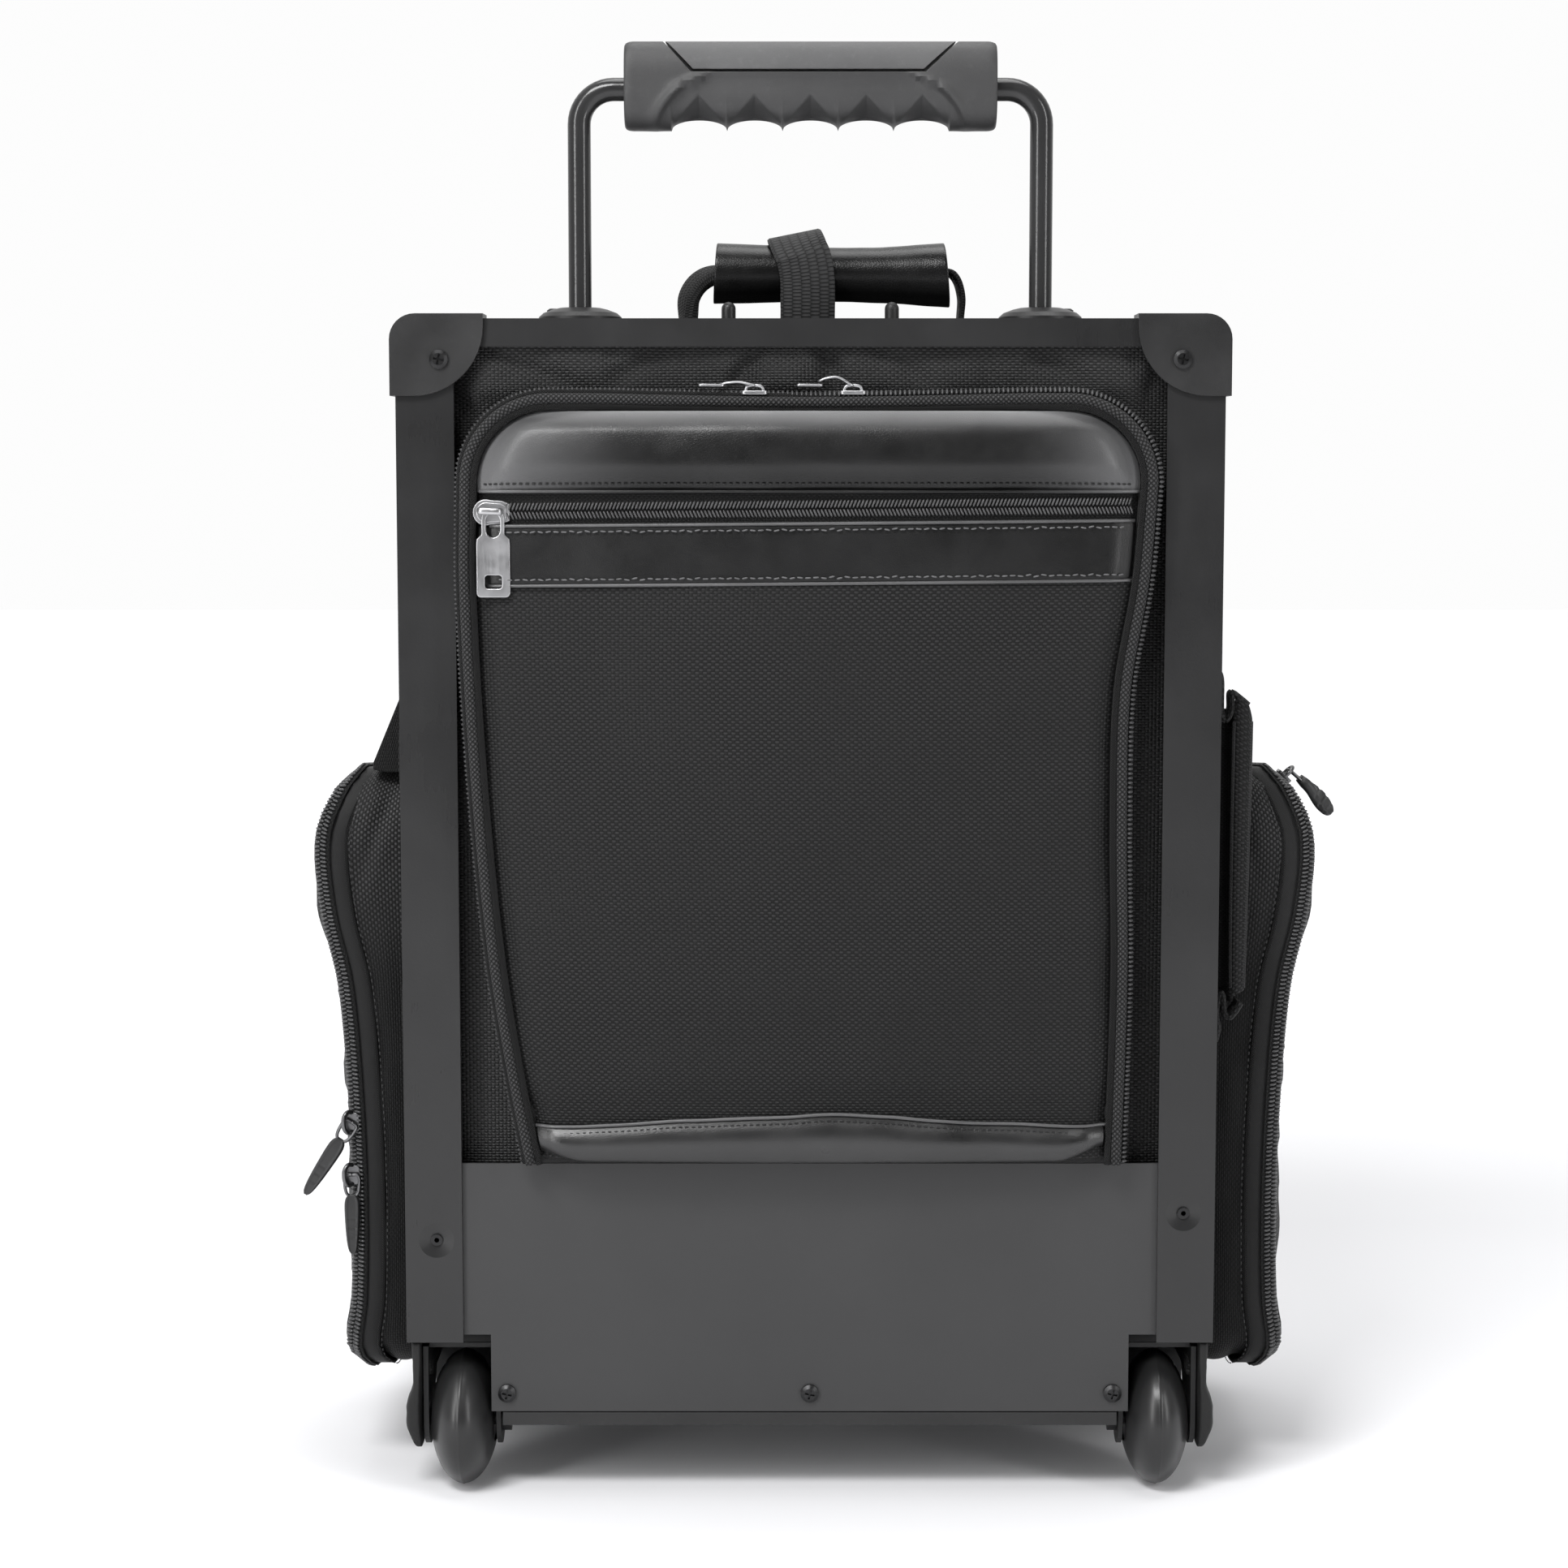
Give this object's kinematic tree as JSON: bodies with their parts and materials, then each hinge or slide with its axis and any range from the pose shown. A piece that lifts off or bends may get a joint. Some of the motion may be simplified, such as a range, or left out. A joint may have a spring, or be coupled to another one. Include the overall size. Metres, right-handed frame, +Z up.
{
  "type": "rolling flight case",
  "caption": "Soft-sided wheeled flight case on a metal trolley frame, with a telescoping handle, zipped pockets, a hinged lid and a carry handle.",
  "frame": {"origin": "on the floor below the middle of the case's bounding box", "axes": "+Z up, -Y towards the trolley side with the rails and the wheels, +X to the right seen from the trolley side"},
  "size_m": [0.4664, 0.2448, 0.636],
  "materials": {
    "frame_paint": "satin",
    "plate_paint": "satin",
    "tube_paint": "semi-gloss",
    "cap_plastic": "satin moulded",
    "base_plastic": "matt moulded",
    "screw_steel": "black oxide",
    "steel": "brushed",
    "rubber_trim": "grained",
    "nylon": "ballistic weave",
    "webbing": "ribbed webbing",
    "leather": "smooth semi-gloss",
    "nickel": "satin nickel",
    "dark_metal": "gunmetal",
    "pull_rubber": "moulded",
    "tyre": "glossy polyurethane",
    "hub_plastic": "smoky gloss",
    "grip_rubber": "soft-touch grained",
    "grip_inlay": "grained"
  },
  "bodies": {
    "case": {"top_rail": "frame_paint", "side_rail_left": "frame_paint", "side_rail_right": "frame_paint", "corner_cap_left": "cap_plastic", "corner_cap_right": "cap_plastic", "pan_screws": "screw_steel", "kick_plate": "plate_paint", "rail_rivets": "screw_steel", "base_tray": "base_plastic", "wheel_bracket_left": "plate_paint", "wheel_bracket_right": "plate_paint", "axle_bolts": "steel", "wheel_guards": "rubber_trim", "front_feet": "base_plastic", "guide_tubes": "steel", "guide_tube_foot": "base_plastic", "socket_bezels": "cap_plastic", "handle_rest_posts": "rubber_trim", "shell_back": "nylon", "tube_cover_board": "nylon", "shell_front": "nylon", "shell_sides": "nylon", "shell_bottom": "nylon", "top_strip": "nylon", "back_gusset": "nylon", "side_gusset_left": "nylon", "side_gusset_right": "nylon", "front_pocket": "nylon", "torch_sleeve": "nylon"},
    "wheel_left": {"wheel_tyre_left": "tyre", "wheel_hub_left": "hub_plastic", "wheel_bearings_left": "steel"},
    "wheel_right": {"wheel_tyre_right": "tyre", "wheel_hub_right": "hub_plastic", "wheel_bearings_right": "steel"},
    "middle_tubes": {"mid_tubes": "steel"},
    "trolley_handle": {"handle_tube": "tube_paint", "grip_body": "grip_rubber", "grip_cover": "grip_inlay"},
    "carry_handle": {"carry_grip": "leather", "carry_webbing": "webbing", "wrap_strap": "webbing"},
    "lid": {"lid_panel": "nylon"},
    "lid_zip_slider": {"lid_slider": "nickel"},
    "lid_zip_pull": {"lid_pull": "nickel"},
    "trolley_side_door": {"back_door": "nylon"},
    "pocket_zip_slider": {"pocket_slider": "nickel"},
    "pocket_zip_pull": {"pocket_pull": "nickel"},
    "door_zip_slider_left": {"door_slider_left": "nickel"},
    "door_zip_slider_right": {"door_slider_right": "nickel"},
    "door_zip_pull_left": {"door_pull_left": "nickel"},
    "door_zip_pull_right": {"door_pull_right": "nickel"},
    "left_pocket_door": {"side_door_left": "nylon"},
    "right_pocket_door": {"side_door_right": "nylon"},
    "left_zip_slider_upper": {"left_slider_upper": "dark_metal"},
    "left_zip_slider_lower": {"left_slider_lower": "dark_metal"},
    "right_zip_slider": {"right_slider": "dark_metal"},
    "left_zip_pull_upper": {"left_pull_upper": "pull_rubber"},
    "left_zip_pull_lower": {"left_pull_lower": "pull_rubber"},
    "right_zip_pull": {"right_pull": "pull_rubber"}
  },
  "joints": [
    {"name": "wheel_left_spin", "type": "hinge", "parent": "case", "child": "wheel_left", "pos_m": [-0.1545, -0.08795, 0.03], "axis": [1, 0, 0], "continuous": true},
    {"name": "wheel_right_spin", "type": "hinge", "parent": "case", "child": "wheel_right", "pos_m": [0.1545, -0.08795, 0.03], "axis": [1, 0, 0], "continuous": true},
    {"name": "middle_tubes_slide", "type": "slide", "parent": "case", "child": "middle_tubes", "axis": [0, 0, 1], "range_m": [0, 0.2]},
    {"name": "trolley_handle_slide", "type": "slide", "parent": "middle_tubes", "child": "trolley_handle", "axis": [0, 0, 1], "range_m": [-0.072, 0.2]},
    {"name": "carry_handle_pivot", "type": "hinge", "parent": "case", "child": "carry_handle", "pos_m": [0, -0.05195, 0.516], "axis": [1, 0, 0], "range_deg": [-60, 45]},
    {"name": "lid_hinge", "type": "hinge", "parent": "case", "child": "lid", "pos_m": [0, -0.0282, 0.512], "axis": [1, 0, 0], "range_deg": [0, 95]},
    {"name": "lid_slider_slide", "type": "slide", "parent": "lid", "child": "lid_zip_slider", "axis": [1, 0, 0], "range_m": [-0.15, 0.15]},
    {"name": "lid_pull_swing", "type": "hinge", "parent": "lid_zip_slider", "child": "lid_zip_pull", "pos_m": [0, 0.10455, 0.50815], "axis": [1, 0, 0], "range_deg": [0, 150]},
    {"name": "trolley_side_door_hinge", "type": "hinge", "parent": "case", "child": "trolley_side_door", "pos_m": [0, -0.10895, 0.151], "axis": [1, 0, 0], "range_deg": [0, 80]},
    {"name": "pocket_slider_slide", "type": "slide", "parent": "trolley_side_door", "child": "pocket_zip_slider", "axis": [1, 0, 0], "range_m": [0, 0.27]},
    {"name": "pocket_pull_swing", "type": "hinge", "parent": "pocket_zip_slider", "child": "pocket_zip_pull", "pos_m": [-0.1355, -0.12015, 0.434], "axis": [-1, 0, 0], "range_deg": [0, 150]},
    {"name": "door_slider_left_slide", "type": "slide", "parent": "trolley_side_door", "child": "door_zip_slider_left", "axis": [1, 0, 0], "range_m": [-0.06, 0]},
    {"name": "door_pull_left_swing", "type": "hinge", "parent": "door_zip_slider_left", "child": "door_zip_pull_left", "pos_m": [-0.024, -0.11295, 0.4882], "axis": [0, 1, 0], "range_deg": [0, 150]},
    {"name": "door_slider_right_slide", "type": "slide", "parent": "trolley_side_door", "child": "door_zip_slider_right", "axis": [1, 0, 0], "range_m": [0, 0.08]},
    {"name": "door_pull_right_swing", "type": "hinge", "parent": "door_zip_slider_right", "child": "door_zip_pull_right", "pos_m": [0.018, -0.11295, 0.4882], "axis": [0, 1, 0], "range_deg": [0, 150]},
    {"name": "left_pocket_door_hinge", "type": "hinge", "parent": "case", "child": "left_pocket_door", "pos_m": [-0.1983, 0.07005, 0.19], "axis": [0, 0, -1], "range_deg": [0, 90]},
    {"name": "right_pocket_door_hinge", "type": "hinge", "parent": "case", "child": "right_pocket_door", "pos_m": [0.1983, 0.07005, 0.19], "axis": [0, 0, 1], "range_deg": [0, 90]},
    {"name": "left_slider_upper_slide", "type": "slide", "parent": "left_pocket_door", "child": "left_zip_slider_upper", "axis": [0, 0, 1], "range_m": [0, 0.045]},
    {"name": "left_slider_lower_slide", "type": "slide", "parent": "left_pocket_door", "child": "left_zip_slider_lower", "axis": [0, 0, 1], "range_m": [-0.055, 0]},
    {"name": "right_slider_slide", "type": "slide", "parent": "right_pocket_door", "child": "right_zip_slider", "axis": [0, 1, 0], "range_m": [0, 0.1]},
    {"name": "left_pull_upper_swing", "type": "hinge", "parent": "left_zip_slider_upper", "child": "left_zip_pull_upper", "pos_m": [-0.2055, -0.07715, 0.161], "axis": [-0.809, 0, 0.5878], "range_deg": [0, 150]},
    {"name": "left_pull_lower_swing", "type": "hinge", "parent": "left_zip_slider_lower", "child": "left_zip_pull_lower", "pos_m": [-0.2055, -0.07715, 0.137], "axis": [-1, 0, 0], "range_deg": [0, 150]},
    {"name": "right_pull_swing", "type": "hinge", "parent": "right_zip_slider", "child": "right_zip_pull", "pos_m": [0.21765, -0.04695, 0.31715], "axis": [0, -1, 0], "range_deg": [0, 150]}
  ]
}
